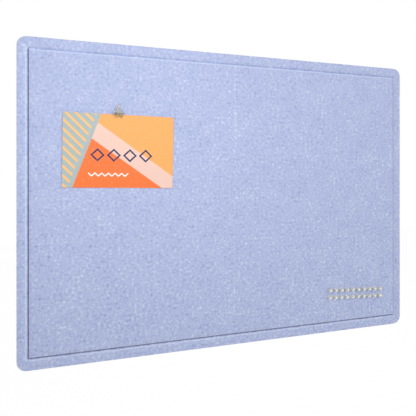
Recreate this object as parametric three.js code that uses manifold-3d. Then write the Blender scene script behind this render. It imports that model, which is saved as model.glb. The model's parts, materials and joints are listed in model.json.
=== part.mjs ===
// Felt bulletin board with a hung binder clip, a postcard and a rack of spare push pins.
// Millimetres. +Z is up, +X is to the viewer's right, and the front of the board faces -Y.
// The origin is the middle of the wall plane, on the back of the centre mounting strip.
import * as THREE from 'three';
import { mergeVertices } from 'three/addons/utils/BufferGeometryUtils.js';
import Module from 'manifold-3d';

const wasm = await Module();
wasm.setup();

// Clearances
const touchGap = 0.3;
const runningGap = 0.15;
const bondGap = 0.05;
const cutOverrun = 1;

// Felt panel
const panelWidth = 609.6;
const panelHeight = 457.2;
const panelThickness = 10;
const panelCornerRadius = 13;
const panelEdgeEase = 1.2;

// Pressed groove round the panel's face: a slope that falls inwards to a steep wall.
// Its insets are measured to the top of the slope
const grooveSideInset = 11.3;
const grooveEndInset = 13.4;
const grooveSlopeWidth = 3.6;
const grooveWallWidth = 0.7;
const grooveDepth = 2.6;

// Adhesive mounting strips
const stripWidth = 25;
const stripHeight = 60;
const stripThickness = 1;
const stripCornerRadius = 3;
const stripSideInset = 27;
const stripEndInset = 50;

// Push pin
const needleRadius = 0.5;
const needleLength = 9;
const needleRootLength = 4;
const needlePointLength = 2;
const flangeRadius = 2.8;
const flangeThickness = 1;
const waistRadius = 1.6;
const crownRadius = 2.4;
const crownThickness = 1.2;
const headHeight = 6;
const headEdgeEase = 0.3;

// Rack of spare pins, measured to its middle
const rackColumns = 10;
const rackRows = 2;
const rackPitchAcross = 10.8;
const rackPitchDown = 12.1;
const rackRightMargin = 92.7;
const rackBottomMargin = 63.5;

// Pin that the clip hangs on, measured from the panel's left and top edges
const hangLeftMargin = 131.5;
const hangTopMargin = 91.2;

// Binder clip body, formed from one strip of spring steel
const clipWidth = 12;
const sheetThickness = 0.4;
const clipFaceLength = 8.2;
const spineDepth = 5.6;
const spineBendRadius = 0.9;
const windowSideBar = 1.3;
const windowCentreBar = 1.5;
const windowSill = 1.2;
const windowLintel = 1;
const notchClearance = 0.35;
const notchCornerRadius = 0.8;

// Wire handles
const wireRadius = 0.4;
const handleReach = 12.5;
const handleLegOffset = 2.2;
const handleLoopRadius = 2.9;
const handleBend = 0.9;
const handleNeckBend = 0.9;
const handleEndInset = 0.5;

// Postcard
const cardWidth = 151;
const cardHeight = 105.7;
const cardThickness = 0.4;
const cardCornerRadius = 0.8;
const cardGripDepth = 3.9;
const cardSideOffset = 2.1;

// Angles in radians and facet counts; the tilts are clockwise as the viewer sees them
const rackTilt = THREE.MathUtils.degToRad(2.6);
const hangTilt = THREE.MathUtils.degToRad(0.9);
const loopOpeningAngle = THREE.MathUtils.degToRad(38);
const rollSweep = THREE.MathUtils.degToRad(285);
const cornerFacets = 6;
const cardCornerFacets = 2;
const bendFacets = 5;
const rollFacets = 14;
const grooveWallFacets = 6;
const headFacets = 12;
const headCurveFacets = 3;
const needleFacets = 8;
const holeFacets = 10;
const wireFacets = 8;
const wireSteps = 56;

// Depths in front of the wall plane
const panelBack = stripThickness + bondGap;
const panelFront = panelBack + panelThickness;
const rollRadius = wireRadius + runningGap + sheetThickness;
const rearPivotDepth = panelFront + touchGap + rollRadius;
const hungFlangeDepth = rearPivotDepth + wireRadius + touchGap;
const spareFlangeDepth = panelFront + touchGap;

// Places across the board
const hangX = hangLeftMargin - panelWidth / 2;
const hangZ = panelHeight / 2 - hangTopMargin;
const loopInnerRadius = handleLoopRadius - wireRadius;
const loopCentreZ = hangZ + needleRadius + runningGap - loopInnerRadius;
const rearPivotZ = loopCentreZ - handleReach;

// Shape of the clip: its faces open from the jaws by half of the mouth's angle each
const jawOpening = cardThickness + 2 * runningGap;
const halfMouth = Math.asin((spineDepth - jawOpening) / 2 / clipFaceLength);
const rollSpacing = (2 * rollRadius + jawOpening) / Math.cos(halfMouth);

// The card hangs from the rear pivot line and leans back until its lower edge meets the felt
const cardForward = rollRadius + runningGap;
const cardDrop = cardHeight - cardGripDepth + rollRadius;
const cardReach = Math.hypot(cardForward, cardDrop);
const hangLean = Math.atan2(cardForward, cardDrop) + Math.asin(rollRadius / cardReach);

// Finishes
function finish(color, roughness, metalness, extra = {}) {
  return new THREE.MeshStandardMaterial({ color, roughness, metalness, ...extra });
}
const feltColor = 0xb8c3e4;
const stripColor = 0xe9e9e4;
const headColor = 0xeceee6;
const steelColor = 0xc9cbd0;
const goldColor = 0xb8963e;
const wireColor = 0xd8c58f;
const cardColor = 0xf2efe8;

// Closed geometry to solid and back
function toSolid(geometry) {
  const bare = geometry.clone();
  bare.deleteAttribute('normal');
  bare.deleteAttribute('uv');
  const merged = mergeVertices(bare);
  const vertProperties = new Float32Array(merged.attributes.position.array);
  const triVerts = new Uint32Array(merged.index.array);
  return new wasm.Manifold(new wasm.Mesh({ numProp: 3, vertProperties, triVerts }));
}

function toGeometry(solid) {
  const mesh = solid.getMesh();
  const geometry = new THREE.BufferGeometry();
  geometry.setAttribute('position', new THREE.BufferAttribute(mesh.vertProperties, 3));
  geometry.setIndex(new THREE.BufferAttribute(mesh.triVerts, 1));
  geometry.computeVertexNormals();
  return geometry;
}

// Named mesh at a place in the frame
function piece(name, geometry, material, x = 0, y = 0, z = 0) {
  const mesh = new THREE.Mesh(geometry, material);
  mesh.name = name;
  mesh.position.set(x, y, z);
  return mesh;
}

// Rectangle with round corners, centred on the origin
function roundedRectangle(width, height, radius) {
  const halfWidth = width / 2;
  const halfHeight = height / 2;
  const shape = new THREE.Shape();
  shape.absarc(halfWidth - radius, halfHeight - radius, radius, 0, Math.PI / 2);
  shape.absarc(radius - halfWidth, halfHeight - radius, radius, Math.PI / 2, Math.PI);
  shape.absarc(radius - halfWidth, radius - halfHeight, radius, Math.PI, 1.5 * Math.PI);
  shape.absarc(halfWidth - radius, radius - halfHeight, radius, 1.5 * Math.PI, 2 * Math.PI);
  shape.closePath();
  return shape;
}

// Plate whose outline is drawn across the board and whose thickness runs forward from y = 0
function uprightPlate(shape, thickness, options = {}) {
  const settings = { depth: thickness, bevelEnabled: false, curveSegments: cornerFacets, ...options };
  const geometry = new THREE.ExtrudeGeometry(shape, settings);
  geometry.rotateX(Math.PI / 2);
  return geometry;
}

// Ring with square mitred corners: the section's points give how far out each line of the ring
// lies from the ring's middle rectangle, and how deep it lies behind the panel's face
function mitredRing(halfWidth, halfHeight, section) {
  const cornerSigns = [[1, 1], [-1, 1], [-1, -1], [1, -1]];
  const count = section.length;
  const positions = [];
  for (const [signX, signZ] of cornerSigns) {
    for (const [out, deep] of section) {
      positions.push(signX * (halfWidth + out), deep - panelFront, signZ * (halfHeight + out));
    }
  }
  const index = [];
  for (let corner = 0; corner < cornerSigns.length; corner += 1) {
    const next = (corner + 1) % cornerSigns.length;
    for (let line = 0; line < count; line += 1) {
      const beside = (line + 1) % count;
      const a = corner * count + line;
      const b = next * count + line;
      const c = next * count + beside;
      const d = corner * count + beside;
      index.push(a, b, c, a, c, d);
    }
  }
  const geometry = new THREE.BufferGeometry();
  geometry.setAttribute('position', new THREE.Float32BufferAttribute(positions, 3));
  geometry.setIndex(index);
  return geometry;
}

// Pressed groove, from the inner shoulder down its soft wall and up its slope
function grooveRing() {
  const inner = -grooveSlopeWidth - grooveWallWidth;
  const section = [];
  for (let step = 0; step <= grooveWallFacets; step += 1) {
    const share = step / grooveWallFacets;
    const deep = grooveDepth * (1 - Math.cos(Math.PI * share)) / 2;
    section.push([inner + grooveWallWidth * share, deep]);
  }
  section.push([0, 0], [0, -cutOverrun], [inner, -cutOverrun]);
  return mitredRing(panelWidth / 2 - grooveSideInset, panelHeight / 2 - grooveEndInset, section);
}

// Blind hole that a needle stands in, from the panel's face to just past the needle's point
function needleHole(x, z, flangeDepth) {
  const bottom = flangeDepth - needleLength - touchGap;
  const top = panelFront + cutOverrun;
  const radius = needleRadius + touchGap;
  const geometry = new THREE.CylinderGeometry(radius, radius, top - bottom, holeFacets);
  geometry.translate(x, -(top + bottom) / 2, z);
  return geometry;
}

// Places of the spare pins, row by row from the top left
function rackPlaces() {
  const middle = new THREE.Vector2(panelWidth / 2 - rackRightMargin, rackBottomMargin - panelHeight / 2);
  const places = [];
  for (let row = 0; row < rackRows; row += 1) {
    for (let column = 0; column < rackColumns; column += 1) {
      const across = (column - (rackColumns - 1) / 2) * rackPitchAcross;
      const up = ((rackRows - 1) / 2 - row) * rackPitchDown;
      const place = middle.clone().add(new THREE.Vector2(across, up)).rotateAround(middle, -rackTilt);
      places.push([place.x, place.y]);
    }
  }
  return places;
}

function feltPanel() {
  const outline = roundedRectangle(panelWidth, panelHeight, panelCornerRadius);
  const slab = uprightPlate(outline, panelThickness - 2 * panelEdgeEase, {
    bevelEnabled: true,
    bevelThickness: panelEdgeEase,
    bevelSize: panelEdgeEase,
    bevelOffset: -panelEdgeEase,
    bevelSegments: 3,
  });
  slab.translate(0, -panelBack - panelEdgeEase, 0);
  let felt = toSolid(slab).subtract(toSolid(grooveRing()));
  felt = felt.subtract(toSolid(needleHole(hangX, hangZ, hungFlangeDepth)));
  for (const [x, z] of rackPlaces()) {
    felt = felt.subtract(toSolid(needleHole(x, z, spareFlangeDepth)));
  }
  return piece('felt_panel', toGeometry(felt), finish(feltColor, 0.95, 0));
}

function mountingStrips() {
  const strips = new THREE.Group();
  const outline = roundedRectangle(stripWidth, stripHeight, stripCornerRadius);
  const sideX = panelWidth / 2 - stripSideInset;
  const endZ = panelHeight / 2 - stripEndInset;
  const places = {
    mounting_strip_centre: [0, 0],
    mounting_strip_top_left: [-sideX, endZ],
    mounting_strip_top_right: [sideX, endZ],
    mounting_strip_bottom_left: [-sideX, -endZ],
    mounting_strip_bottom_right: [sideX, -endZ],
  };
  for (const [name, [x, z]] of Object.entries(places)) {
    const geometry = uprightPlate(outline, stripThickness);
    strips.add(piece(name, geometry, finish(stripColor, 0.7, 0), x, 0, z));
  }
  return strips;
}

// Profiles of the pin run from the axis to the axis, with the flange's back face at y = 0,
// the head towards -y and the needle towards +y
function pinHeadGeometry() {
  const boreRadius = needleRadius + runningGap;
  const boreEnd = -needleRootLength - runningGap;
  const crownBase = crownThickness - headHeight;
  const profile = new THREE.Path();
  profile.moveTo(0, -headHeight);
  profile.lineTo(crownRadius - headEdgeEase, -headHeight);
  profile.quadraticCurveTo(crownRadius, -headHeight, crownRadius, headEdgeEase - headHeight);
  profile.lineTo(crownRadius, crownBase);
  profile.quadraticCurveTo(waistRadius, crownBase, waistRadius, (crownBase - flangeThickness) / 2);
  profile.quadraticCurveTo(waistRadius, -flangeThickness, flangeRadius, -flangeThickness);
  profile.lineTo(flangeRadius, -headEdgeEase);
  profile.lineTo(flangeRadius - headEdgeEase, 0);
  profile.lineTo(boreRadius, 0);
  profile.lineTo(boreRadius, boreEnd);
  profile.lineTo(0, boreEnd);
  return new THREE.LatheGeometry(profile.getPoints(headCurveFacets), headFacets);
}

function needleGeometry() {
  const profile = new THREE.Path();
  profile.moveTo(0, -needleRootLength);
  profile.lineTo(needleRadius, -needleRootLength);
  profile.lineTo(needleRadius, needleLength - needlePointLength);
  profile.lineTo(0, needleLength);
  return new THREE.LatheGeometry(profile.getPoints(1), needleFacets);
}

function pushPin(prefix, x, z, flangeDepth) {
  const pin = new THREE.Group();
  pin.position.set(x, -flangeDepth, z);
  pin.add(piece(`${prefix}_head`, pinHeadGeometry(), finish(headColor, 0.12, 0)));
  pin.add(piece(`${prefix}_needle`, needleGeometry(), finish(steelColor, 0.25, 1)));
  return pin;
}

function sparePins() {
  const rack = new THREE.Group();
  rackPlaces().forEach(([x, z], place) => {
    const number = String(place + 1).padStart(2, '0');
    rack.add(pushPin(`spare_pin_${number}`, x, z, spareFlangeDepth));
  });
  return rack;
}

// Section line of the clip's front half, from the middle of the spine down to the free end of
// the rolled jaw: x is how far forward of the clip's mid-plane, y is the height over the rolls
function clipHalfLine() {
  const line = new THREE.Path();
  const lineRadius = rollRadius - sheetThickness / 2;
  const up = new THREE.Vector2(Math.sin(halfMouth), Math.cos(halfMouth));
  const out = new THREE.Vector2(Math.cos(halfMouth), -Math.sin(halfMouth));
  const roll = new THREE.Vector2(rollSpacing / 2, 0);
  const foot = roll.clone().addScaledVector(out, -lineRadius);
  const corner = foot.clone().addScaledVector(up, clipFaceLength);
  const bendBelow = corner.clone().addScaledVector(up, -spineBendRadius);
  line.moveTo(0, corner.y);
  line.lineTo(corner.x - spineBendRadius, corner.y);
  line.quadraticCurveTo(corner.x, corner.y, bendBelow.x, bendBelow.y);
  line.lineTo(foot.x, foot.y);
  const startAngle = Math.PI - halfMouth;
  const points = line.getPoints(bendFacets);
  for (let step = 1; step <= rollFacets; step += 1) {
    const angle = startAngle + rollSweep * step / rollFacets;
    const arm = new THREE.Vector2(Math.cos(angle), Math.sin(angle));
    points.push(roll.clone().addScaledVector(arm, lineRadius));
  }
  return points;
}

// Outline of a strip of even thickness that follows a line
function stripOutline(line, thickness) {
  const left = [];
  const right = [];
  line.forEach((point, place) => {
    const before = line[Math.max(place - 1, 0)];
    const after = line[Math.min(place + 1, line.length - 1)];
    const arriving = point.clone().sub(before).normalize();
    const leaving = after.clone().sub(point).normalize();
    const along = arriving.clone().add(leaving).normalize();
    const spread = Math.max(along.dot(arriving), along.dot(leaving));
    const side = new THREE.Vector2(-along.y, along.x).multiplyScalar(thickness / 2 / spread);
    left.push(point.clone().add(side));
    right.push(point.clone().sub(side));
  });
  return new THREE.Shape([...left, ...right.reverse()]);
}

// Extrusion across the clip, centred, of a section whose x points forward and whose y points up
function acrossClip(section, width) {
  const geometry = new THREE.ExtrudeGeometry(section, { depth: width, bevelEnabled: false });
  geometry.translate(0, 0, -width / 2);
  geometry.rotateX(Math.PI / 2);
  geometry.rotateZ(-Math.PI / 2);
  return geometry;
}

// Cutter that runs from front to back through both faces of the clip
function throughBothFaces(shape) {
  const depth = 2 * spineDepth;
  const geometry = uprightPlate(shape, depth);
  geometry.translate(0, depth / 2, 0);
  return toSolid(geometry);
}

function archedWindow(centreX, halfWidth, bottom, top) {
  const shape = new THREE.Shape();
  shape.moveTo(centreX - halfWidth, bottom);
  shape.lineTo(centreX + halfWidth, bottom);
  shape.absarc(centreX, top - halfWidth, halfWidth, 0, Math.PI);
  shape.closePath();
  return throughBothFaces(shape);
}

// Notch that parts each rolled jaw into two tubes, so that the handle's legs can swing
function legNotch() {
  const halfWidth = handleLegOffset + wireRadius + notchClearance;
  const top = rollRadius + notchClearance;
  const bottom = -rollRadius - cutOverrun;
  const shape = roundedRectangle(2 * halfWidth, top - bottom, notchCornerRadius);
  const cutter = throughBothFaces(shape);
  return cutter.translate([0, 0, (top + bottom) / 2]);
}

// Geometry has the rear roll's centre at its origin and the clip's mid-plane upright
function clipBodyGeometry() {
  const front = clipHalfLine();
  const rear = front.slice(1).map((point) => new THREE.Vector2(-point.x, point.y)).reverse();
  const section = stripOutline([...rear, ...front], sheetThickness);
  const spineTop = front[0].y + sheetThickness / 2;
  const halfWidth = (clipWidth - 2 * windowSideBar - windowCentreBar) / 4;
  const centreX = windowCentreBar / 2 + halfWidth;
  const bottom = rollRadius + windowSill;
  const top = spineTop - spineBendRadius - windowLintel;
  let body = toSolid(acrossClip(section, clipWidth));
  body = body.subtract(archedWindow(centreX, halfWidth, bottom, top));
  body = body.subtract(archedWindow(-centreX, halfWidth, bottom, top));
  body = body.subtract(legNotch());
  const geometry = toGeometry(body);
  geometry.translate(0, -rollSpacing / 2, 0);
  return geometry;
}

// Round top of a wire handle, drawn from its right side over the top to its left side
class HandleLoop extends THREE.Curve {
  getPoint(share) {
    const angle = share * (Math.PI + 2 * loopOpeningAngle) - loopOpeningAngle;
    const across = handleLoopRadius * Math.cos(angle);
    return new THREE.Vector3(across, 0, handleReach + handleLoopRadius * Math.sin(angle));
  }
}

// Right half of a handle below its loop, from the end inside the rolled jaw up to the loop
function handleSideCurves() {
  const end = new THREE.Vector3(clipWidth / 2 - handleEndInset, 0, 0);
  const foot = new THREE.Vector3(handleLegOffset, 0, 0);
  const across = Math.cos(loopOpeningAngle);
  const down = Math.sin(loopOpeningAngle);
  const meeting = new HandleLoop().getPoint(0);
  const neck = new THREE.Vector3(meeting.x - handleNeckBend * down, 0, meeting.z - handleNeckBend * across);
  const leg = neck.clone().sub(foot).normalize();
  const bendStart = new THREE.Vector3(handleLegOffset + handleBend, 0, 0);
  const bendEnd = foot.clone().addScaledVector(leg, handleBend);
  const neckStart = neck.clone().addScaledVector(leg, -handleNeckBend);
  return [
    new THREE.LineCurve3(end, bendStart),
    new THREE.QuadraticBezierCurve3(bendStart, foot, bendEnd),
    new THREE.LineCurve3(bendEnd, neckStart),
    new THREE.QuadraticBezierCurve3(neckStart, neck, meeting),
  ];
}

// The same curve on the other side of the clip, run the other way
function mirrored(curve) {
  const flip = (point) => new THREE.Vector3(-point.x, point.y, point.z);
  if (curve.isLineCurve3) {
    return new THREE.LineCurve3(flip(curve.v2), flip(curve.v1));
  }
  return new THREE.QuadraticBezierCurve3(flip(curve.v2), flip(curve.v1), flip(curve.v0));
}

// Geometry has the pivot line along X through its origin and the loop straight above it
function wireHandleGeometry() {
  const route = new THREE.CurvePath();
  const rightSide = handleSideCurves();
  rightSide.forEach((curve) => route.add(curve));
  route.add(new HandleLoop());
  rightSide.reverse().forEach((curve) => route.add(mirrored(curve)));
  const section = new THREE.Shape();
  section.absarc(0, 0, wireRadius, 0, 2 * Math.PI);
  return new THREE.ExtrudeGeometry(section, {
    steps: wireSteps,
    extrudePath: route,
    curveSegments: wireFacets / 2,
  });
}

// Turn of the front handle from upright, inside the leaning clip: it lies along the clip's front
// face, or against the crown of the pin where that stands further out
function frontHandleTurn(pivotForward, pivotDrop) {
  const forward = hungFlangeDepth + headHeight - rearPivotDepth - pivotForward;
  const up = hangZ - crownRadius - rearPivotZ + pivotDrop;
  const overCrown = Math.asin((wireRadius + touchGap) / Math.hypot(forward, up));
  return Math.max(2 * halfMouth, Math.atan2(forward, up) + overCrown - hangLean);
}

function postcard() {
  const outline = roundedRectangle(cardWidth, cardHeight, cardCornerRadius);
  const geometry = uprightPlate(outline, cardThickness, { curveSegments: cardCornerFacets });
  const centreZ = cardGripDepth - rollRadius - cardHeight / 2;
  return piece('postcard', geometry, finish(cardColor, 0.6, 0), cardSideOffset, -cardForward, centreZ);
}

// The rear handle hangs on the pin with a slight tilt, because the card's middle lies to one side,
// and the clip and its card lean from the handle's pivot line
function hungClip() {
  const hung = new THREE.Group();
  const handle = new THREE.Group();
  const leaning = new THREE.Group();
  const wire = finish(wireColor, 0.22, 1);
  const pivotForward = rollSpacing * Math.cos(halfMouth);
  const pivotDrop = rollSpacing * Math.sin(halfMouth);
  const body = piece('clip_body', clipBodyGeometry(), finish(goldColor, 0.28, 1));
  const front = piece('clip_front_handle', wireHandleGeometry(), wire, 0, -pivotForward, -pivotDrop);
  hung.position.set(hangX, 0, hangZ);
  hung.rotation.y = hangTilt;
  handle.position.set(0, -rearPivotDepth, rearPivotZ - hangZ);
  leaning.rotation.x = hangLean;
  body.rotation.x = halfMouth;
  front.rotation.x = frontHandleTurn(pivotForward, pivotDrop);
  leaning.add(body, front, postcard());
  handle.add(piece('clip_rear_handle', wireHandleGeometry(), wire), leaning);
  hung.add(handle);
  return hung;
}

const board = new THREE.Group();
board.add(feltPanel());
board.add(mountingStrips());
board.add(sparePins());
board.add(pushPin('hanging_pin', hangX, hangZ, hungFlangeDepth));
board.add(hungClip());

export default board;
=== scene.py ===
"""Looks of a pressed-felt bulletin board with push pins, a hollow binder clip and a postcard.

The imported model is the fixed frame. Places and outer sizes are read from its nodes and joints,
and the sizes that it doesn't carry are fields of the class that uses them, in metres.
+Z is up, +X is to the viewer's right, and the board's face looks towards -Y.
"""

from __future__ import annotations

import json
import logging
import math
from dataclasses import dataclass, field
from enum import Enum
from typing import Callable, Mapping, NamedTuple, Optional, Sequence, Union

import bmesh
import bpy
from mathutils import Matrix, Vector, noise


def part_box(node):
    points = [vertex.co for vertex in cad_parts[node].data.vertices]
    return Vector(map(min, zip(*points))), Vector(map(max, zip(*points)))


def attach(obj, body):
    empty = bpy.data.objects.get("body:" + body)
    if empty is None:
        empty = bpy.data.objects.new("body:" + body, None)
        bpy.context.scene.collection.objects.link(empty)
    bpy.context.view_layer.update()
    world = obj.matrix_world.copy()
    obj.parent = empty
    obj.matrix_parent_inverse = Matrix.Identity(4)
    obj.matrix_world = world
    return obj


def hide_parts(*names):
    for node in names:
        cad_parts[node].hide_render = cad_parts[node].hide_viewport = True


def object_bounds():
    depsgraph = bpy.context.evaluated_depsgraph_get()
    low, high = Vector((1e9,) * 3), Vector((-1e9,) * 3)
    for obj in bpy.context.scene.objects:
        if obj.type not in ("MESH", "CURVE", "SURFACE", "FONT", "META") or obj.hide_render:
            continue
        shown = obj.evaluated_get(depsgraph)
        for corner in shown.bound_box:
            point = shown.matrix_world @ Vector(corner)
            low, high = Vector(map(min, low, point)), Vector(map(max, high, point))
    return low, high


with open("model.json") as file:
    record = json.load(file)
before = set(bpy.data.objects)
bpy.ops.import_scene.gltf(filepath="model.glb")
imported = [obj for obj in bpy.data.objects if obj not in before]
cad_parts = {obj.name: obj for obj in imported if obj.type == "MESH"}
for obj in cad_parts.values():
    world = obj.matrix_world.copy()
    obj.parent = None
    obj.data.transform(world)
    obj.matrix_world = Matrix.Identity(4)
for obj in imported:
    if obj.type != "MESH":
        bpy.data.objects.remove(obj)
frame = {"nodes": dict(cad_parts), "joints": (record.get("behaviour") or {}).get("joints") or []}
CAD_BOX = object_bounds()

MM = 0.001
NOISE_MEAN = 0.5

Triple = tuple[float, float, float]
Colour = Triple
Flat = tuple[float, float]
Relief = Callable[[float, float], float]
log = logging.getLogger("bulletin_board")


def printed(red: int, green: int, blue: int) -> Colour:
    """Turns a colour as a screen shows it into the linear one that a shader takes.

    Args:
        red: Red from 0 to 255.
        green: Green from 0 to 255.
        blue: Blue from 0 to 255.

    Returns:
        The three linear shares.
    """
    full, knee, slope, foot, power = 255.0, 0.04045, 12.92, 0.055, 2.4
    shares = (red / full, green / full, blue / full)
    linear = [s / slope if s <= knee else ((s + foot) / (1 + foot)) ** power for s in shares]
    return linear[0], linear[1], linear[2]


def joint_named(name: str) -> Mapping[str, object]:
    """Returns the frame's joint of that name."""
    return next(joint for joint in frame["joints"] if joint["name"] == name)


class Value:
    """A number that may change over a surface, carried by a node's output socket."""

    def __init__(self, sheet: NodeSheet, socket: bpy.types.NodeSocket) -> None:
        """Wraps an output socket of a node tree.

        Args:
            sheet: The tree that the socket is in.
            socket: The socket.
        """
        self.sheet = sheet
        self.socket = socket

    def _math(self, operation: str, *terms: Term) -> Value:
        """Adds one Math node on these terms, in order."""
        node = self.sheet.node("ShaderNodeMath", {"operation": operation}, dict(enumerate(terms)))
        return Value(self.sheet, node.outputs[0])

    def __add__(self, other: Term) -> Value:
        """Returns self + other."""
        return self._math("ADD", self, other)

    __radd__ = __add__

    def __mul__(self, other: Term) -> Value:
        """Returns self * other."""
        return self._math("MULTIPLY", self, other)

    __rmul__ = __mul__

    def __sub__(self, other: Term) -> Value:
        """Returns self - other."""
        return self._math("SUBTRACT", self, other)

    def __rsub__(self, other: Term) -> Value:
        """Returns other - self."""
        return self._math("SUBTRACT", other, self)

    def __abs__(self) -> Value:
        """Returns the size of self without its sign."""
        return self._math("ABSOLUTE", self)

    def __mod__(self, period: Term) -> Value:
        """Returns self wrapped into one period, from 0 up."""
        return self._math("FLOORED_MODULO", self, period)

    def larger(self, other: Term) -> Value:
        """Returns the larger of self and other."""
        return self._math("MAXIMUM", self, other)

    def rising(self, low: float, high: float) -> Value:
        """Fades smoothly from 0 at low to 1 at high, and turns round if low is above high.

        Args:
            low: Value of self at which the result is 0.
            high: Value of self at which the result is 1.

        Returns:
            The faded mask.
        """
        settings = {"interpolation_type": "SMOOTHSTEP"}
        node = self.sheet.node("ShaderNodeMapRange", settings, {0: self, 1: low, 2: high})
        return Value(self.sheet, node.outputs[0])


Term = Union[Value, float]
Link = Union[Value, bpy.types.NodeSocket, float, Sequence[float]]


class NodeSheet:
    """Node tree of a finish or of the surround."""

    def __init__(self, tree: bpy.types.NodeTree) -> None:
        """Takes a node tree and empties it.

        Args:
            tree: The tree.
        """
        self.tree = tree
        self.tree.nodes.clear()

    def node(
        self,
        kind: str,
        settings: Optional[Mapping[str, object]] = None,
        inputs: Optional[Mapping[Union[int, str], Link]] = None,
    ) -> bpy.types.Node:
        """Adds one node.

        Args:
            kind: Type name of the node.
            settings: Properties that are set first.
            inputs: A value or a link for each socket, by its number or name.

        Returns:
            The new node.
        """
        node = self.tree.nodes.new(kind)
        for key, setting in (settings or {}).items():
            setattr(node, key, setting)
        self.feed(node, inputs or {})
        return node

    def feed(self, node: bpy.types.Node, inputs: Mapping[Union[int, str], Link]) -> None:
        """Sets or links a node's sockets.

        Args:
            node: The node to feed.
            inputs: A value or a link for each socket, by its number or name.
        """
        for key, term in inputs.items():
            if isinstance(term, Value):
                self.tree.links.new(term.socket, node.inputs[key])
            elif isinstance(term, bpy.types.NodeSocket):
                self.tree.links.new(term, node.inputs[key])
            elif node.inputs[key].type == "RGBA":
                node.inputs[key].default_value = (*term, 1)
            else:
                node.inputs[key].default_value = term

    def seen(self) -> Value:
        """Finds the rays that look at a surface rather than light one.

        Returns:
            1 for what the camera, a mirror or clear plastic shows, and 0 for light on matt surfaces.
        """
        path = self.node("ShaderNodeLightPath").outputs
        camera, mirror = Value(self, path["Is Camera Ray"]), Value(self, path["Is Glossy Ray"])
        return camera.larger(mirror).larger(Value(self, path["Is Transmission Ray"]))


class FinishSheet(NodeSheet):
    """Node tree of one material, with a Principled shader at its end."""

    def __init__(self, name: str) -> None:
        """Makes an empty material of that name.

        Args:
            name: Name of the material.
        """
        self.material = bpy.data.materials.new(name)
        self.material.use_nodes = True
        super().__init__(self.material.node_tree)
        self.shader = self.node("ShaderNodeBsdfPrincipled")
        self.end = self.node("ShaderNodeOutputMaterial", {}, {"Surface": self.shader.outputs[0]})

    def shade(self, inputs: Mapping[Union[int, str], Link]) -> bpy.types.Material:
        """Sets or links the Principled shader's sockets.

        Args:
            inputs: A value or a link for each socket, by its name.

        Returns:
            The finished material.
        """
        self.feed(self.shader, inputs)
        return self.material

    def place(self) -> bpy.types.NodeSocket:
        """Returns the point of the surface in its object's own frame, in metres."""
        return self.node("ShaderNodeTexCoord").outputs["Object"]

    def stretched(self, place: bpy.types.NodeSocket, turn: float, scale: Triple) -> bpy.types.NodeSocket:
        """Turns a point about the Y axis, then stretches it.

        Args:
            place: The point.
            turn: Turn in radians.
            scale: Scale along X, Y and Z.

        Returns:
            The new point.
        """
        turned = self.node("ShaderNodeMapping", {}, {"Vector": place, "Rotation": (0, turn, 0)})
        inputs = {0: turned.outputs[0], 1: scale}
        return self.node("ShaderNodeVectorMath", {"operation": "MULTIPLY"}, inputs).outputs[0]

    def parts(self, place: bpy.types.NodeSocket) -> tuple[Value, Value, Value]:
        """Returns the X, Y and Z of a vector as three values."""
        split = self.node("ShaderNodeSeparateXYZ", {}, {0: place}).outputs
        return Value(self, split[0]), Value(self, split[1]), Value(self, split[2])

    def cloud(self, place: bpy.types.NodeSocket, scale: float, detail: float = 2.0) -> Value:
        """Makes soft noise about NOISE_MEAN.

        Args:
            place: The point that it changes with.
            scale: Lumps in a metre.
            detail: Finer layers added to it.

        Returns:
            The noise, mostly from 0.2 to 0.8.
        """
        inputs = {"Vector": place, "Scale": scale, "Detail": detail}
        return Value(self, self.node("ShaderNodeTexNoise", {}, inputs).outputs[0])

    def mixed(self, share: Term, low: Link, high: Link) -> bpy.types.NodeSocket:
        """Mixes two colours.

        Args:
            share: Share of the second colour, from 0 to 1.
            low: First colour.
            high: Second colour.

        Returns:
            The mixed colour.
        """
        inputs = {0: share, 6: low, 7: high}
        return self.node("ShaderNodeMix", {"data_type": "RGBA"}, inputs).outputs[2]

    def relief(self, height: Value, depth: float, strength: float = 1.0) -> bpy.types.NodeSocket:
        """Turns a height into a bumped normal.

        Args:
            height: Height of the surface, from 0 to 1.
            depth: What 1 is worth, in metres.
            strength: Share of the relief that shows.

        Returns:
            The normal.
        """
        inputs = {"Height": height, "Distance": depth, "Strength": strength}
        return self.node("ShaderNodeBump", {}, inputs).outputs[0]


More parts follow.
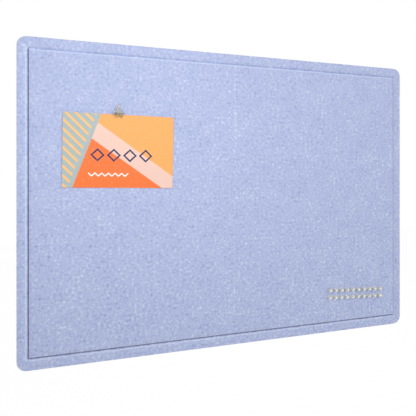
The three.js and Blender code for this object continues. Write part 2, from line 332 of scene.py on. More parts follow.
@dataclass(frozen=True)
class HeatheredFelt:
    """Pressed felt: dyed fibres with paler and darker ones among them, and painted shade and highlights
    along the groove.

    Attributes:
        reach: Half the width and half the height of the rectangle along the groove's foot.
        slope: Width of the groove's outer slope.
        wall: Width of its inner wall.
        middle: Place along Y of the panel's middle, in front of which the crease and the groove's painted
            shade and highlights lie.
        pressed: Width of the painted shade line along the groove's foot.
        painted_shade: How dark that painted shade is, from 0 to 1.
        painted_highlight: How much paler the painted highlights along the groove are.
        lip: Share of that painted highlight on the slope's lip at the left and the bottom.
        rim: Share of it on the wall's rim there.
        crest: Share of it on the wall at the top.
        shade: Share of it on the slope at the top.
        blur: Softness of the groove's painted shade and highlights.
        body: Colour of most fibres.
        pale: Colour of the undyed fibres.
        deep: Colour of the darker fibres and of the gaps.
        clumps: Clumps of fibre in a metre.
        clump_tone: How much the clumps change the colour.
        clump_growth: Change of that for each metre across and up.
        patches: Slow changes of tone in a metre.
        patch_tone: How much those change the colour.
        strand_tone: How much single strands change the colour.
        strand_grid: Strands in a metre along their length, through the felt and across it.
        strand_turns: Directions that the strands lie in, in degrees.
        strand_shift: How far each set of strands is shifted for each degree of its turn.
        strand_edge: Levels of noise between which a strand's side fades.
        sways: Bends of the strands in a metre.
        sway: How far a bend goes, in strands.
        crease_width: Half the width of the paler fold line down the middle.
        crease_tone: How much paler that line is.
        crease_fade: Heights at which it starts and at which it is whole.
        nap: Depth of the fibres' relief.
    """

    reach: Flat
    slope: float
    wall: float
    middle: float
    pressed: float = 1.4 * MM
    painted_shade: float = 0.45
    painted_highlight: float = 0.55
    lip: float = 0.8
    rim: float = 0.5
    crest: float = 0.9
    shade: float = 0.1
    blur: float = 0.7 * MM
    body: Colour = printed(183, 194, 230)
    pale: Colour = printed(226, 234, 252)
    deep: Colour = printed(142, 154, 199)
    clumps: float = 262.0
    clump_tone: float = 2.4
    clump_growth: Flat = (0.3, -0.9)
    patches: float = 48.0
    patch_tone: float = 0.62
    strand_tone: float = 0.34
    strand_grid: Triple = (190.0, 900.0, 1500.0)
    strand_turns: tuple[float, ...] = (18.0, 71.0, 127.0, 164.0)
    strand_shift: float = 7.0
    strand_edge: Flat = (0.60, 0.72)
    sways: float = 160.0
    sway: float = 6.0
    crease_width: float = 2.6 * MM
    crease_tone: float = 0.27
    crease_fade: Flat = (-30 * MM, 60 * MM)
    nap: float = 0.35 * MM

    def _strands(self, sheet: FinishSheet, place: bpy.types.NodeSocket, turn: float) -> Value:
        """Makes thin strands that lie along one direction of the face.

        Args:
            sheet: The material's node tree.
            place: Point of the surface.
            turn: Direction of the strands in degrees, which also makes each set its own.

        Returns:
            Mask of the strands, 1 on a strand.
        """
        seed = self.strand_shift * turn
        bent = sheet.stretched(place, math.radians(turn), self.strand_grid)
        along, off, across = sheet.parts(bent)
        sway = sheet.cloud(place, self.sways, detail=1.0) * self.sway
        moved = sheet.node("ShaderNodeCombineXYZ", {}, {0: along + seed, 1: off, 2: across + sway})
        return sheet.cloud(moved.outputs[0], 1.0, detail=1.0).rising(*self.strand_edge)

    def _painted_groove_tones(self, across: Value, up: Value) -> tuple[Value, Value]:
        """Finds where shade and highlights are painted along the groove: shade along the foot at the left
        and the bottom, highlights on its slopes and walls.

        Args:
            across: Place across the board.
            up: Place up the board.

        Returns:
            Mask of the painted shade and mask of the painted highlights.
        """
        beside, above = abs(across) - self.reach[0], abs(up) - self.reach[1]
        out, blur = beside.larger(above), self.blur
        at_side = (beside - above).rising(-blur, blur)
        left, low = across.rising(blur, -blur), up.rising(blur, -blur)
        near, right = at_side * left + (1 - at_side) * low, at_side * (1 - left)
        # Painted shade along the groove's foot, kept to the left and the bottom.
        foot = out.rising(-blur, 0.0) * out.rising(self.pressed, self.pressed / 2)
        slope = out.rising(self.slope + blur, self.slope)
        top = out.rising(-self.wall - 2 * blur, -self.wall)
        lip = out.rising(self.pressed, self.pressed + blur) * slope * self.lip
        rim = top * out.rising(-self.wall / 2, -self.wall) * self.rim
        crest = top * out.rising(blur, 0.0) * self.crest + out.rising(0.0, blur) * slope * self.shade
        right_highlight = out.rising(-blur, 0.0) * (slope + out.rising(self.slope, 0.0)) * 0.5
        # Painted highlights: on the lip and the rim at the left and the bottom, on the slope near the
        # foot at the right, and on the wall and slope at the top.
        painted_highlight = near * (lip + rim) + right * right_highlight + (1 - near - right) * crest
        return foot * near, painted_highlight

    def material(self) -> bpy.types.Material:
        """Builds the felt's material.

        Returns:
            The material.
        """
        sheet = FinishSheet("heathered_felt")
        place = sheet.place()
        across, deep, up = sheet.parts(place)
        face = deep.rising(self.middle, self.middle - self.blur)
        sets = [self._strands(sheet, place, turn) for turn in self.strand_turns]
        light, dark = (sets[0] + sets[2]) * 0.5, (sets[1] + sets[3]) * 0.5
        clumps = sheet.cloud(place, self.clumps)
        patches = sheet.cloud(place, self.patches, detail=3.0)
        clump_tone = across * self.clump_growth[0] + up * self.clump_growth[1] + self.clump_tone
        tone = (clumps - NOISE_MEAN) * clump_tone + (patches - NOISE_MEAN) * self.patch_tone
        crease = abs(across).rising(self.crease_width, 0.0) * up.rising(*self.crease_fade) * face
        lifted = tone + light * self.strand_tone + crease * self.crease_tone
        sunk = dark * self.strand_tone - tone
        colour = sheet.mixed(lifted.rising(0.0, 1.0), self.body, self.pale)
        colour = sheet.mixed(sunk.rising(0.0, 1.0), colour, self.deep)
        # Painted shade and painted highlights along the groove, on the front only.
        groove_shade_mask, painted_highlight = self._painted_groove_tones(across, up)
        colour = sheet.mixed(painted_highlight * face * self.painted_highlight, colour, self.pale)
        colour = sheet.mixed(groove_shade_mask * face * self.painted_shade, colour, (0.0, 0.0, 0.0))
        clump_share, strand_share = 0.5, 0.25
        fibres = clumps * clump_share + light * strand_share + dark * strand_share
        return sheet.shade({
            "Base Color": colour,
            "Roughness": 0.95,
            "Specular IOR Level": 0.2,
            "Sheen Weight": 0.08,
            "Sheen Roughness": 0.5,
            "Sheen Tint": self.pale,
            "Normal": sheet.relief(fibres, self.nap, strength=0.6),
        })


@dataclass(frozen=True)
class FoamTape:
    """Double-sided mounting tape: white closed-cell foam with a smooth adhesive face.

    Attributes:
        foam: Colour of the foam.
        pore: Colour of its open cells.
        glue: Colour of the adhesive face.
        cells: Cells in a metre.
        cell_edge: Distances from a cell's middle at which its colour starts and is whole.
        cell_tone: How much the cells change the colour.
        smears: Smears of adhesive in a metre.
        smear_tone: Share of glue over the foam, and what a smear adds to it.
        roughness: Roughness of the foam.
        gloss: How much smoother the glue is, and what a smear adds to that.
        facing: Share of a surface's normal along Y at which the glue starts and is whole.
        relief: Depth of the cells.
        smear_relief: Rise of a smear, as a share of that.
    """

    foam: Colour = printed(236, 236, 230)
    pore: Colour = printed(196, 196, 188)
    glue: Colour = printed(222, 224, 219)
    cells: float = 1600.0
    cell_edge: Flat = (0.5, 0.1)
    cell_tone: float = 0.3
    smears: float = 90.0
    smear_tone: Flat = (0.6, 0.4)
    roughness: float = 0.85
    gloss: Flat = (0.25, 0.3)
    facing: Flat = (0.5, 0.9)
    relief: float = 0.2 * MM
    smear_relief: float = 0.3

    def material(self) -> bpy.types.Material:
        """Builds the tape's material.

        Returns:
            The material.
        """
        sheet = FinishSheet("foam_tape")
        place = sheet.place()
        inputs = {"Vector": place, "Scale": self.cells}
        cells = Value(sheet, sheet.node("ShaderNodeTexVoronoi", {}, inputs).outputs["Distance"])
        normal = sheet.node("ShaderNodeNewGeometry").outputs["Normal"]
        face = abs(sheet.parts(normal)[1]).rising(*self.facing)
        smear = sheet.cloud(place, self.smears, detail=3.0)
        foam = sheet.mixed(cells.rising(*self.cell_edge) * self.cell_tone, self.foam, self.pore)
        glue = face * (self.smear_tone[0] + smear * self.smear_tone[1])
        height = cells * (1 - face) + smear * face * self.smear_relief
        return sheet.shade({
            "Base Color": sheet.mixed(glue, foam, self.glue),
            "Roughness": self.roughness - face * (self.gloss[0] + smear * self.gloss[1]),
            "Normal": sheet.relief(height, self.relief, strength=0.5),
        })


@dataclass(frozen=True)
class ClearPlastic:
    """Moulded polystyrene, with flow marks and fine scuffs.

    Attributes:
        name: Name of the material.
        tint: Colour that the plastic gives what is seen through it.
        flow_tint: Colour of its flow marks.
        clarity: Share of the light that passes through.
        roughness: Roughness between the scuffs.
        scuffing: How much rougher a scuff is.
        thin: How solid the thin flange and shaft look, where the crown is 1.
        crown: Places along Y at which the shaft ends and the crown is whole.
        flow: Flow marks in a metre.
        flow_edge: Levels of noise between which a flow mark's colour fades in.
        flow_depth: Depth of the flow marks.
        scuffs: Scuffs in a metre.
        scuff_edge: Levels of noise between which a scuff fades in.
    """

    name: str
    tint: Colour
    flow_tint: Colour
    clarity: float
    roughness: float = 0.05
    scuffing: float = 0.12
    thin: float = 0.36
    crown: Flat = (-4.4 * MM, -5.0 * MM)
    flow: float = 500.0
    flow_edge: Flat = (0.3, 0.8)
    flow_depth: float = 0.05 * MM
    scuffs: float = 4000.0
    scuff_edge: Flat = (0.55, 0.8)

    def material(self) -> bpy.types.Material:
        """Builds a pin head's material.

        Returns:
            The material.
        """
        sheet = FinishSheet(self.name)
        place = sheet.place()
        flow = sheet.cloud(place, self.flow)
        scuffs = sheet.cloud(place, self.scuffs).rising(*self.scuff_edge)
        crown = sheet.parts(place)[1].rising(*self.crown)
        return sheet.shade({
            "Base Color": sheet.mixed(flow.rising(*self.flow_edge), self.tint, self.flow_tint),
            "Alpha": crown * (1 - self.thin) + self.thin,
            "Roughness": self.roughness + scuffs * self.scuffing,
            "IOR": 1.49,
            "Transmission Weight": self.clarity,
            "Normal": sheet.relief(flow, self.flow_depth, strength=0.3),
        })


IVORY = ClearPlastic(
    "ivory_clear_plastic",
    tint=printed(255, 251, 228),
    flow_tint=printed(250, 248, 236),
    clarity=0.24,
    thin=0.56,
)
WATER_CLEAR = ClearPlastic(
    "clear_plastic",
    tint=printed(240, 238, 244),
    flow_tint=printed(228, 226, 236),
    clarity=0.9,
    roughness=0.3,
)


class Plating(Enum):
    """Metal that a piece is plated with, as the colour that it reflects, and the grey reflection painted
    along the clip's spine.
    """

    OLIVE_GOLD = printed(192, 174, 118)
    # Grey painted reflection for the clip's spine, not a plating metal.
    SPINE_PAINTED_GREY = printed(178, 177, 175)
    CHAMPAGNE = printed(202, 195, 180)
    NICKEL = printed(206, 206, 204)


@dataclass(frozen=True)
class PlatedSteel:
    """Bright plating over drawn or rolled steel, with faint draw lines and handling marks.

    Attributes:
        plating: The plating's metal.
        upper: Colour that it turns to higher up the piece, which on the clip is a grey reflection painted
            along the spine.
        turn: Heights at which that starts and at which it is whole.
        roughness: Roughness where it is clean.
        grain: Draw lines in a metre.
        grain_scale: Scale of the draw lines along X, Y and Z, where less is longer.
        grain_roughness: Change of roughness over the draw lines.
        grain_depth: Depth of the draw lines.
        marks: Handling marks in a metre.
        mark_edge: Levels of noise between which a mark fades in.
        mark_tone: Share of the worn colour in a mark.
        mark_roughness: How much rougher a mark is.
        wear: How dark the worn colour is, as a share of the plating.
    """

    plating: Plating
    upper: Optional[Plating] = None
    turn: Flat = (2.5 * MM, 6 * MM)
    roughness: float = 0.2
    grain: float = 3000.0
    grain_scale: Triple = (0.12, 1, 1)
    grain_roughness: float = 0.12
    grain_depth: float = 0.01 * MM
    marks: float = 350.0
    mark_edge: Flat = (0.45, 0.75)
    mark_tone: float = 0.45
    mark_roughness: float = 0.14
    wear: float = 0.72

    def material(self) -> bpy.types.Material:
        """Builds the plated metal's material.

        Returns:
            The material.
        """
        sheet = FinishSheet(f"{self.plating.name.lower()}_plating")
        place = sheet.place()
        lines = sheet.cloud(sheet.stretched(place, 0.0, self.grain_scale), self.grain)
        marks = sheet.cloud(place, self.marks, detail=3.0).rising(*self.mark_edge)
        colour = self.plating.value
        # Painted reflection: higher up the piece, the colour turns to the upper one.
        if self.upper:
            colour = sheet.mixed(sheet.parts(place)[2].rising(*self.turn), colour, self.upper.value)
        worn = tuple(self.wear * share for share in self.plating.value)
        rough = self.roughness + marks * self.mark_roughness
        return sheet.shade({
            "Base Color": sheet.mixed(marks * self.mark_tone, colour, worn),
            "Metallic": 1.0,
            "Roughness": rough + (lines - NOISE_MEAN) * self.grain_roughness,
            "Normal": sheet.relief(lines, self.grain_depth, strength=0.25),
        })


@dataclass(frozen=True)
class PrintedCard:
    """Coated card with a plain geometric print: slanted fields, bars, a zigzag and lozenges.

    Attributes:
        stock: Colour of the bare card and of the zigzag.
        peach: Colour of the ground.
        orange: Colour of the lower left field.
        amber: Colour of the upper right field.
        sage: Colour of the upright field at the left.
        straw: Colour of the bars on it.
        navy: Colour of the lozenges.
        slope: Step across for each step up along the two slanted fields.
        orange_edge: Where the lower left field ends.
        amber_edge: Where the upper right field starts.
        sage_slope: Step across for each step up along the upright field.
        sage_edge: How far left of the middle the upright field ends.
        bar_margin: How much further left the bars end.
        bar_pitch: Spacing of the bars.
        bar_width: Half the width of a bar.
        lozenge_pitch: Spacing of the lozenges.
        lozenge_size: Half the width of a lozenge, along its middle line.
        lozenge_line: Half the width of its line.
        lozenge_height: Height of the row over the card's middle.
        lozenge_span: Where the row starts and ends.
        wave_pitch: Spacing of the zigzag's teeth.
        wave_rise: Rise of a tooth for each step across.
        wave_line: Half the width of the zigzag's line.
        wave_height: Height of its low points over the card's middle.
        wave_span: Where the zigzag starts and ends.
        edge: Half the softness of a printed edge.
        ink: Thin places in the ink in a metre.
        ink_edge: Levels of noise over its mean between which the ink thins.
        ink_wear: How much the stock shows through the thin places.
        fibres: Fibres of the stock in a metre.
        fibre_depth: Depth of their relief.
        fibre_roughness: Change of roughness over them.
        roughness: Roughness of the bare back.
        coating: How much smoother the coated face is.
        facing: Share of a surface's normal towards the viewer where the print starts and is whole.
    """

    stock: Colour = printed(246, 243, 236)
    peach: Colour = printed(244, 205, 190)
    orange: Colour = printed(255, 122, 56)
    amber: Colour = printed(255, 176, 98)
    sage: Colour = printed(174, 187, 187)
    straw: Colour = printed(255, 196, 120)
    navy: Colour = printed(22, 38, 84)
    slope: float = 1.4
    orange_edge: float = -14 * MM
    amber_edge: float = 26 * MM
    sage_slope: float = 0.35
    sage_edge: float = 44 * MM
    bar_margin: float = 6 * MM
    bar_pitch: float = 13 * MM
    bar_width: float = 2.2 * MM
    lozenge_pitch: float = 22 * MM
    lozenge_size: float = 8 * MM
    lozenge_line: float = 1.6 * MM
    lozenge_height: float = -6 * MM
    lozenge_span: Flat = (-41 * MM, 47 * MM)
    wave_pitch: float = 9 * MM
    wave_rise: float = 0.9
    wave_line: float = 1.2 * MM
    wave_height: float = -36 * MM
    wave_span: Flat = (-42 * MM, 12 * MM)
    edge: float = 0.12 * MM
    ink: float = 260.0
    ink_edge: Flat = (0.0, 0.6)
    ink_wear: float = 0.35
    fibres: float = 2600.0
    fibre_depth: float = 0.03 * MM
    fibre_roughness: float = 0.1
    roughness: float = 0.62
    coating: float = 0.16
    facing: Flat = (0.4, 0.7)

    def _inside(self, reach: Value) -> Value:
        """Returns 1 where reach is below 0 and 0 above it, with a printed edge between."""
        return reach.rising(self.edge, -self.edge)

    def _span(self, across: Value, ends: Flat) -> Value:
        """Returns 1 between two places and 0 outside them."""
        return self._inside(ends[0] - across) * self._inside(across - ends[1])

    def _tooth(self, across: Value, pitch: float, start: float = 0.0) -> Value:
        """Returns the distance to the middle of the repeat that a place lies in."""
        return abs((across - start) % pitch - pitch / 2)

    def _fields(self, sheet: FinishSheet, across: Value, up: Value) -> bpy.types.NodeSocket:
        """Lays the print's fields and bars over its ground.

        Args:
            sheet: The material's node tree.
            across: Place across the card.
            up: Place up the card.

        Returns:
            The colour.
        """
        slant = across + up * self.slope
        upright = across - up * self.sage_slope + self.sage_edge
        bars = self._inside(self._tooth(across + up, self.bar_pitch) - self.bar_width)
        colour = sheet.mixed(self._inside(slant - self.orange_edge), self.peach, self.orange)
        colour = sheet.mixed(self._inside(self.amber_edge - slant), colour, self.amber)
        colour = sheet.mixed(self._inside(upright), colour, self.sage)
        return sheet.mixed(bars * self._inside(upright + self.bar_margin), colour, self.straw)

    def _figures(self, across: Value, up: Value) -> tuple[Value, Value]:
        """Draws the row of lozenges and the zigzag.

        Args:
            across: Place across the card.
            up: Place up the card.

        Returns:
            Masks of the lozenges' lines and of the zigzag.
        """
        step = self._tooth(across, self.lozenge_pitch, self.lozenge_span[0])
        rhomb = step + abs(up - self.lozenge_height) - self.lozenge_size
        lozenges = self._inside(abs(rhomb) - self.lozenge_line) * self._span(across, self.lozenge_span)
        teeth = self._tooth(across, self.wave_pitch, self.wave_span[0]) * self.wave_rise
        wave = self._inside(abs(teeth - (up - self.wave_height)) - self.wave_line)
        return lozenges, wave * self._span(across, self.wave_span)

    def material(self) -> bpy.types.Material:
        """Builds the card's material.

        Returns:
            The material.
        """
        sheet = FinishSheet("printed_card")
        place = sheet.place()
        across, _, up = sheet.parts(place)
        lozenges, wave = self._figures(across, up)
        colour = sheet.mixed(lozenges, self._fields(sheet, across, up), self.navy)
        colour = sheet.mixed(wave, colour, self.stock)
        thin_ink = (sheet.cloud(place, self.ink, detail=3.0) - NOISE_MEAN).rising(*self.ink_edge)
        colour = sheet.mixed(thin_ink * self.ink_wear, colour, self.stock)
        fibre = sheet.cloud(place, self.fibres, detail=3.0)
        normal = sheet.node("ShaderNodeTexCoord").outputs["Normal"]
        front = (0 - sheet.parts(normal)[1]).rising(*self.facing)
        rough = self.roughness - front * self.coating
        return sheet.shade({
            "Base Color": sheet.mixed(front, self.stock, colour),
            "Roughness": rough + (fibre - NOISE_MEAN) * self.fibre_roughness,
            "Specular IOR Level": 0.35,
            "Normal": sheet.relief(fibre, self.fibre_depth, strength=0.35),
        })


def mesh_object(name: str, work: bmesh.types.BMesh, smooth: float = 35.0) -> bpy.types.Object:
    """Makes an object of a finished mesh, with smooth shading up to an angle.

    Args:
        name: Name of the object.
        work: The mesh, which is freed.
        smooth: Angle in degrees above which an edge stays sharp.

    Returns:
        The object, linked to the scene.
    """
    bmesh.ops.recalc_face_normals(work, faces=work.faces)
    limit = math.radians(smooth)
    for face in work.faces:
        face.smooth = True
    for edge in work.edges:
        if len(edge.link_faces) == 2 and edge.calc_face_angle() > limit:
            edge.smooth = False
    mesh = bpy.data.meshes.new(name)
    work.to_mesh(mesh)
    work.free()
    return placed(name, mesh)


def placed(name: str, data: bpy.types.ID) -> bpy.types.Object:
    """Links a new object to the scene.

    Args:
        name: Name of the object.
        data: Its mesh, lamp or camera.

    Returns:
        The object.
    """
    made = bpy.data.objects.new(name, data)
    bpy.context.scene.collection.objects.link(made)
    return made


def coat(piece: bpy.types.Object, finish: bpy.types.Material) -> None:
    """Gives an object one material in place of any that its mesh has.

    Args:
        piece: The object.
        finish: The material.
    """
    piece.data.materials.clear()
    piece.data.materials.append(finish)


def applied(piece: bpy.types.Object) -> bpy.types.Object:
    """Turns an object's modifiers into its own mesh.

    Args:
        piece: The object.

    Returns:
        The same object, with no modifiers.
    """
    scene_state = bpy.context.evaluated_depsgraph_get()
    mesh = bpy.data.meshes.new_from_object(piece.evaluated_get(scene_state))
    piece.modifiers.clear()
    piece.data = mesh
    return piece


def cut_away(piece: bpy.types.Object, cutter_mesh: bmesh.types.BMesh) -> bpy.types.Object:
    """Cuts closed shapes out of an object.

    Args:
        piece: The object.
        cutter_mesh: The shapes, clear of each other, which are freed.

    Returns:
        The same object.
    """
    cutter = mesh_object("cutter", cutter_mesh)
    cut = piece.modifiers.new("cut", "BOOLEAN")
    cut.operation = "DIFFERENCE"
    cut.solver = "EXACT"
    cut.object = cutter
    applied(piece)
    bpy.data.objects.remove(cutter)
    return piece


def level(x: float, z: float) -> float:
    """Returns the relief of a flat face, which is 0 everywhere."""
    return 0.0


def arc(centre: Flat, radius: float, start: float, end: float, steps: int) -> list[Flat]:
    """Returns points on an arc.

    Args:
        centre: Its centre.
        radius: Its radius.
        start: Angle of its first point in degrees.
        end: Angle of its last point in degrees.
        steps: Steps along it.

    Returns:
        Its points, both ends included.
    """
    turns = [math.radians(start + (end - start) * step / steps) for step in range(steps + 1)]
    return [(centre[0] + radius * math.cos(t), centre[1] + radius * math.sin(t)) for t in turns]


def rounded(before: Vector, corner: Vector, after: Vector, steps: int) -> list[Vector]:
    """Rounds a corner between two straight runs.

    Args:
        before: Where the first run ends.
        corner: Where the two runs would meet.
        after: Where the second run starts.
        steps: Steps along the bend.

    Returns:
        The bend's points, both ends included.
    """
    shares = [step / steps for step in range(steps + 1)]
    return [before * (1 - s) ** 2 + corner * 2 * s * (1 - s) + after * s ** 2 for s in shares]


def joined_rings(work: bmesh.types.BMesh, rings: Sequence[Sequence[bmesh.types.BMVert]]) -> None:
    """Joins closed rings of points with faces. A ring of one point closes a mesh's end.

    Args:
        work: The mesh that the points are in.
        rings: The rings, in order.
    """
    for lower, upper in zip(rings, rings[1:]):
        for place in range(max(len(lower), len(upper))):
            beside = place + 1
            corners = [lower[place % len(lower)], lower[beside % len(lower)]]
            corners += [upper[beside % len(upper)], upper[place % len(upper)]]
            work.faces.new(list(dict.fromkeys(corners)))


def closed_rings(work: bmesh.types.BMesh, rings: Sequence[Sequence[bmesh.types.BMVert]]) -> None:
    """Joins closed rings of points with faces, and closes both ends with a face each.

    Args:
        work: The mesh that the points are in.
        rings: The rings, in order.
    """
    joined_rings(work, rings)
    work.faces.new(rings[0])
    work.faces.new(rings[-1])


def revolved(profile: Sequence[Flat], sides: int) -> bmesh.types.BMesh:
    """Spins a profile that starts and ends on the axis round the Y axis.

    Args:
        profile: Radius and place along Y of each point.
        sides: Points round the axis.

    Returns:
        The closed mesh.
    """
    work = bmesh.new()
    turns = [2 * math.pi * side / sides for side in range(sides)]
    rings = []
    for radius, along in profile:
        places = [(radius * math.cos(t), along, radius * math.sin(t)) for t in turns]
        rings.append([work.verts.new(place) for place in (places if radius else places[:1])])
    joined_rings(work, rings)
    return work


class Ring(NamedTuple):
    """One ring of a plate's mesh, which follows its outline.

    Attributes:
        inset: How far it lies inside the outline at the sides.
        depth: Its place along Y.
        lift: How much further inside it lies at the top and bottom.
    """

    inset: float
    depth: float
    lift: float = 0.0


@dataclass
class RoundedPlate:
    """Upright plate with round corners, meshed in rings that follow its outline round a grid.

    Attributes:
        half_width: Half of its width.
        half_height: Half of its height.
        corner_radius: Radius of its corners.
        block: Length along each side that a corner's own points take.
        corner_steps: Steps round a corner, an even number.
        pitch: Spacing of the grid.
        extra_columns: Places across where the grid has more lines.
    """

    half_width: float
    half_height: float
    corner_radius: float
    block: float
    corner_steps: int
    pitch: float
    extra_columns: Sequence[float] = ()

    def _line(self, reach: float, extra: Sequence[float]) -> list[float]:
        """Spaces the grid's lines between two sides of a ring, without the two ends.

        Args:
            reach: Half the distance between the sides.
            extra: Places where the grid has more lines.

        Returns:
            The places of the lines, in order.
        """
        steps = max(1, round(2 * reach / self.pitch))
        even = [reach * (2 * step / steps - 1) for step in range(1, steps)]
        clear = [place for place in even if all(abs(place - e) > self.pitch / 3 for e in extra)]
        return sorted([*clear, *extra])

    def _corner(self, line: Ring) -> list[Flat]:
        """Places the upper right corner's points of a ring, from its top side on.

        Args:
            line: The ring.

        Returns:
            The corner's points, across and up.
        """
        wide, high = self.half_width - line.inset, self.half_height - line.inset - line.lift
        radius = max(self.corner_radius - line.inset, 0.0)
        above = self.block - line.inset - radius
        beside = above - line.lift
        half_turn = math.pi / 4
        half_bend = radius * half_turn
        points = []
        for step in range(self.corner_steps + 1):
            share = 2 * step / self.corner_steps - 1
            run = abs(share) * (half_bend + (beside if share > 0 else above))
            if run < half_bend:
                angle = half_turn + math.copysign(run / radius, share)
                side, top = radius * math.sin(angle), radius * math.cos(angle)
                points.append((wide - radius + side, high - radius + top))
            elif share > 0:
                points.append((wide, high - radius - run + half_bend))
            else:
                points.append((wide - radius - run + half_bend, high))
        return points

    def outline(self, line: Ring) -> list[Flat]:
        """Returns the points of one ring, clockwise as the viewer sees them.

        Args:
            line: The ring.

        Returns:
            Its points, across and up.
        """
        columns = self._line(self.half_width - self.block, self.extra_columns)
        rows = self._line(self.half_height - self.block, ())
        wide, high = self.half_width - line.inset, self.half_height - line.inset - line.lift
        corner = self._corner(line)
        mirrored = corner[::-1]
        return [
            *[(x, high) for x in columns],
            *corner,
            *[(wide, z) for z in reversed(rows)],
            *[(x, -z) for x, z in mirrored],
            *[(x, -high) for x in reversed(columns)],
            *[(-x, -z) for x, z in corner],
            *[(-wide, z) for z in rows],
            *[(-x, z) for x, z in mirrored],
        ]

    @staticmethod
    def _fill(work: bmesh.types.BMesh, ring: list[bmesh.types.BMVert], relief: Relief) -> None:
        """Fills a square-cornered ring with a grid that takes its places from the ring.

        Args:
            work: The mesh.
            ring: The ring's points.
            relief: Depth that the grid adds at a place.
        """
        close = 1e-7
        depth = ring[0].co.y
        high = max(vert.co.z for vert in ring)
        wide = max(vert.co.x for vert in ring)
        columns = sorted({vert.co.x for vert in ring if high - vert.co.z < close})
        rows = sorted({vert.co.z for vert in ring if wide - vert.co.x < close})
        known = {(round(vert.co.x / close), round(vert.co.z / close)): vert for vert in ring}
        grid = []
        for z in rows:
            line = []
            for x in columns:
                vert = known.get((round(x / close), round(z / close)))
                line.append(vert or work.verts.new((x, depth + relief(x, z), z)))
            grid.append(line)
        for lower, upper in zip(grid, grid[1:]):
            for place in range(len(columns) - 1):
                work.faces.new((lower[place], lower[place + 1], upper[place + 1], upper[place]))

    def mesh(self, section: Sequence[Ring], relief: Relief) -> bmesh.types.BMesh:
        """Builds the closed plate.

        Args:
            section: The rings, from the middle of the back round the edge to the middle of the
                front. The first and the last lie inside the corners' radius.
            relief: Depth that the grid on the front adds at a place.

        Returns:
            The mesh.
        """
        work = bmesh.new()
        rings = []
        for line in section:
            rings.append([work.verts.new((x, line.depth, z)) for x, z in self.outline(line)])
        joined_rings(work, rings)
        self._fill(work, rings[0], level)
        self._fill(work, rings[-1], relief)
        return work


